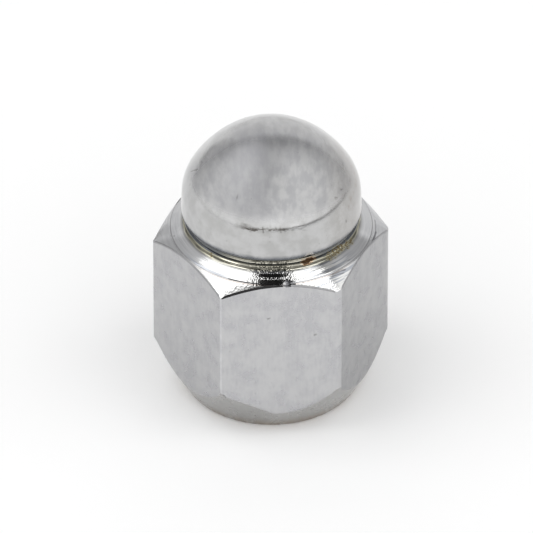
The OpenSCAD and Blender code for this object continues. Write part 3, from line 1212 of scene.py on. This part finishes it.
paint = {
    "seatTop": 7.5 * mm,         # faces below it belong to the seat, faces above it to the chamfer
    "seatTilt": -0.45,
    "chamferTilt": 0.78,
    "chamferRadius": 10.3 * mm,
    "boreMargin": 0.1 * mm,
    "nickReach": 0.98,           # share of the nick's size
    # painted shade: each flat is lighter or darker as it faces the lamps and the floor
    "flatTones": (0.82, 0.93, 0.97, 0.905, 1.0, 0.765),      # anticlockwise from +X, one for each flat
    "frontFlat": 4,
    "flatSpread": 4,             # degrees
    "uprightTilt": 0.1,
    # painted highlight on the sharp long edges; the soft ones keep the flats' level
    "sharpTone": 1.14,
    "softTone": 1.0,
    # painted shade on the edge breaks where the flats meet the seat and the chamfer
    "seatArchTone": 0.95,
    "archTone": 0.62,
    # a painted dark line of shade along the left half of the front flat's upper edge
    "darkLineTone": 0.06,
    "darkLineTo": 1.1 * mm,
    "seatTone": 0.90,            # painted shade on the seat under the left of the front flat
    "seatToneFrom": -0.5 * mm,
    "seatToneAcross": 3 * mm,
    "seatToneFront": 5 * mm,
}


# the painted highlight or shade of a face of the hexagon: each flat its own, highlights on the sharp long
# edges, shade on the edge breaks
def faceTone(middle, normal):
    turn = atan2(normal.y, normal.x) * 180 / pi % 360
    sector = int(turn // 60)
    flatTone = paint["flatTones"][sector]
    front = sector == paint["frontFlat"]
    if abs(normal.z) < paint["uprightTilt"]:
        square = abs(turn - (sector * 60 + 30)) < paint["flatSpread"]
        soft = round(turn / 60) % 6 in nut["softCorners"]
        return flatTone if square else paint["softTone" if soft else "sharpTone"]
    if middle.z < nut["middleHeight"]:
        return flatTone if front else flatTone * paint["seatArchTone"]
    # the edge breaks over the flats carry painted shade, darkest on the left half of the front flat
    return paint["darkLineTone" if front and middle.x < paint["darkLineTo"] else "archTone"]


# painted shade on the seat, deepening to the left and to the front
def seatTone(middle):
    across = min(1.0, max(0.0, (paint["seatToneFrom"] - middle.x) / paint["seatToneAcross"]))
    return 1.0 + (paint["seatTone"] - 1.0) * across * min(1.0, max(0.0, -middle.y / paint["seatToneFront"]))


def paintNut(body):              # each surface takes the finish that its cutting left, and its own tone of painted highlight or shade
    for material in (makeFlatChrome(), makeTurnedChrome(), makeSeatChrome(), makeBoreMetal()):
        body.data.materials.append(material)
    flat, chamfer, seat, bore = range(4)
    nick = Vector(placeAt(*nut["nick"][:3])) * mm
    nickReach = nut["nick"][3] * paint["nickReach"] * mm
    paintedTones = body.data.attributes.new("paintedTone", "FLOAT", "FACE")
    for face in body.data.polygons:
        middle, normal = face.center, face.normal
        radius = middle.xy.length
        low = middle.z < paint["seatTop"]
        kind, paintedTone = flat, 1.0
        if radius < nut["countersinkRadius"] + paint["boreMargin"]:
            kind = bore
        elif low and (normal.z < paint["seatTilt"] or radius < nut["neckRadius"]):
            kind, paintedTone = seat, seatTone(middle)
        elif not low and (normal.z > paint["chamferTilt"] or radius < paint["chamferRadius"]
                          or (middle - nick).length < nickReach):
            kind = chamfer
        else:
            paintedTone = faceTone(middle, normal)
        face.material_index = kind
        paintedTones.data[face.index].value = paintedTone


body = makeNutBody()
body.data.materials.clear()
paintNut(body)
shell = makeCap()
shell.data.materials.clear()
shell.data.materials.append(makeCapChrome())
print("finishes laid on")
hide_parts("nut_body")
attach(body, "root")
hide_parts("cap")
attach(shell, "root")


# studio

studio = {
    "floorColour": (0.99, 0.99, 0.99),
    "floorSize": 6.0,
    "floorRoughness": 1.0,
    "floorShine": 0.0,
    "lampDistance": 1.0,
    "lampRise": 0.93,
    # how far from overhead, size across and along, how far forward, brightness
    "leftLamp": (0.445, 0.63, 0.68, 0.03, 1.5),
    "rightLamp": (0.385, 0.43, 0.50, 0.12, 1.68),
    "cameraRise": 35.98,
    "cameraDistance": 1.2,
    "cameraClip": (0.01, 20),
    "sensorWidth": 36,
    "frameWidth": 54.4 * mm,     # what the view's width covers at the nut
    "aimHeight": 14.93 * mm,
    "aimRight": -0.49 * mm,
    "aimUp": -1.05 * mm,
}


def makeCamera():
    rise = radians(studio["cameraRise"])
    back = facing(0, cos(rise), sin(rise))
    right = facing(1, 0, 0)
    up = back.cross(right)
    aim = Vector((0, 0, studio["aimHeight"])) + right * studio["aimRight"] + up * studio["aimUp"]
    deselectAll()
    bpy.ops.object.camera_add(location=aim + back * studio["cameraDistance"])
    camera = bpy.context.object
    camera.rotation_euler = (-back).to_track_quat("-Z", "Y").to_euler()
    camera.data.sensor_width = studio["sensorWidth"]
    camera.data.lens = studio["sensorWidth"] * studio["cameraDistance"] / studio["frameWidth"]
    camera.data.clip_start, camera.data.clip_end = studio["cameraClip"]
    bpy.context.scene.camera = camera


def makeFloor():
    deselectAll()
    bpy.ops.mesh.primitive_plane_add(size=studio["floorSize"])
    floor = bpy.context.object
    floor.name = "floor"
    material = bpy.data.materials.new("floorPaper")
    material.use_nodes = True
    shader = material.node_tree.nodes["Principled BSDF"]
    shader.inputs["Base Color"].default_value = (*studio["floorColour"], 1)
    shader.inputs["Roughness"].default_value = studio["floorRoughness"]
    shader.inputs["Specular IOR Level"].default_value = studio["floorShine"]
    floor.data.materials.append(material)


def makeLamp(name, side, settings):      # a soft box beside the point overhead
    away, width, length, forward, brightness = settings
    deselectAll()
    back = facing(side * away, forward, studio["lampRise"]).normalized()
    right = facing(1, 0, 0)
    across = (right - back * right.dot(back)).normalized()
    bpy.ops.object.light_add(type="AREA", location=back * studio["lampDistance"])
    lamp = bpy.context.object
    lamp.name = name
    lamp.data.shape = "RECTANGLE"
    lamp.data.size = width
    lamp.data.size_y = length
    lamp.data.energy = brightness * pi * width * length
    lamp.rotation_euler = Matrix((across, back.cross(across), back)).transposed().to_euler()


# the room that the metal reflects

room = {                         # right, front and up are parts of a direction, from -1 to 1
    "strength": 1.235,
    "wallLevel": 0.93,
    # a bright window in front
    "windowAim": (0.33, 0.877583, 0.479426),
    "windowReach": (0.75, 0.97),
    "windowLight": 0.105,
    # a dark gap over the pale wall behind
    "gapFrom": (-0.72, -0.62),
    "gapTo": (-0.15, -0.42),
    "gapMiddle": 0.42,
    "gapSide": (0.5, 0.12, 0.6, 1.0),
    "gapUp": (0.0, 0.1),
    "gapDepth": 0.46,
    "backFront": (-0.68, -0.74),         # the wall behind
    "backDepth": 0.17,
    # the corners on both sides of it
    "cornerLeft": (-0.50, -0.57),
    "cornerRight": (0.50, 0.60, 0.0, 0.5),
    "cornerFront": (-0.15, -0.45),
    "cornerUp": (0.85, 0.5),
    "cornerDepth": 0.25,
    # the ceiling, and a dark slot overhead between the lamps
    "ceilingUp": (0.72, 0.9),
    "ceilingFront": (-0.5, -0.2),
    "ceilingDepth": 0.72,
    "slotSide": (0.22, 0.13),
    "slotFront": (0.55, 0.45),
    "slotUp": (0.7, 0.8),
    "slotFade": (-0.25, -0.05, 0.6, 1.0),
    "slotDepth": 0.97,
    # low dark edges of the room, darker towards the right in front and at both ends behind
    "skirtingUp": (0.09, 0.04),
    "skirtingRear": (-0.3, -0.6),
    "skirtingRight": (-0.2, 0.6, 0.12, 0.6),
    "endLeft": (-0.50, -0.57, 0.0, 0.45),
    "endRight": (0.50, 0.57, 0.0, 0.25),
}


def makeWorld():
    world = bpy.data.worlds.new("studio")
    bpy.context.scene.world = world
    world.use_nodes = True
    tree = world.node_tree
    background = tree.nodes["Background"]
    direction = tree.nodes.new("ShaderNodeTexCoord").outputs["Generated"]
    right, front = along(tree, direction, 1, 0), along(tree, direction, 0, 1)
    up = separate(tree, direction)[2]
    span = namedRanges(tree, room)
    aim = tuple(facing(*room["windowAim"]).normalized())
    window = times(tree, span(addVector(tree, "DOT_PRODUCT", direction, aim), "windowReach"),
                   room["windowLight"])
    gap = times(tree, span(front, "gapFrom"), span(front, "gapTo"),
                span(awayFrom(tree, right, room["gapMiddle"]), "gapSide"), span(up, "gapUp"))
    back = times(tree, span(front, "backFront"), room["backDepth"])
    corners = times(tree, addMath(tree, "MAXIMUM", span(right, "cornerLeft"), span(right, "cornerRight")),
                    span(front, "cornerFront"), span(up, "cornerUp"))
    ceiling = times(tree, span(up, "ceilingUp"), span(front, "ceilingFront"))
    slot = times(tree, span(addMath(tree, "ABSOLUTE", right), "slotSide"),
                 span(addMath(tree, "ABSOLUTE", front), "slotFront"), span(up, "slotUp"),
                 span(front, "slotFade"))
    rear = span(front, "skirtingRear")
    ends = addMath(tree, "MAXIMUM", span(right, "endLeft"), span(right, "endRight"))
    skirting = plus(tree, times(tree, minus(tree, 1.0, rear), span(right, "skirtingRight")),
                    times(tree, rear, ends))
    skirting = times(tree, skirting, span(up, "skirtingUp"))
    total = plus(tree, window, room["wallLevel"])
    for shade in (times(tree, gap, room["gapDepth"]), back):
        total = minus(tree, total, shade)
    for shade in (times(tree, ceiling, room["ceilingDepth"]), times(tree, slot, room["slotDepth"]), skirting,
                  times(tree, corners, room["cornerDepth"])):
        total = times(tree, total, minus(tree, 1.0, shade))
    feed(tree, background.inputs["Color"], total)
    background.inputs["Strength"].default_value = room["strength"]


makeCamera()
makeFloor()
makeLamp("softBoxLeft", -1, studio["leftLamp"])
makeLamp("softBoxRight", 1, studio["rightLamp"])
makeWorld()
bpy.context.scene.view_settings.view_transform = "Standard"
print("studio lit")
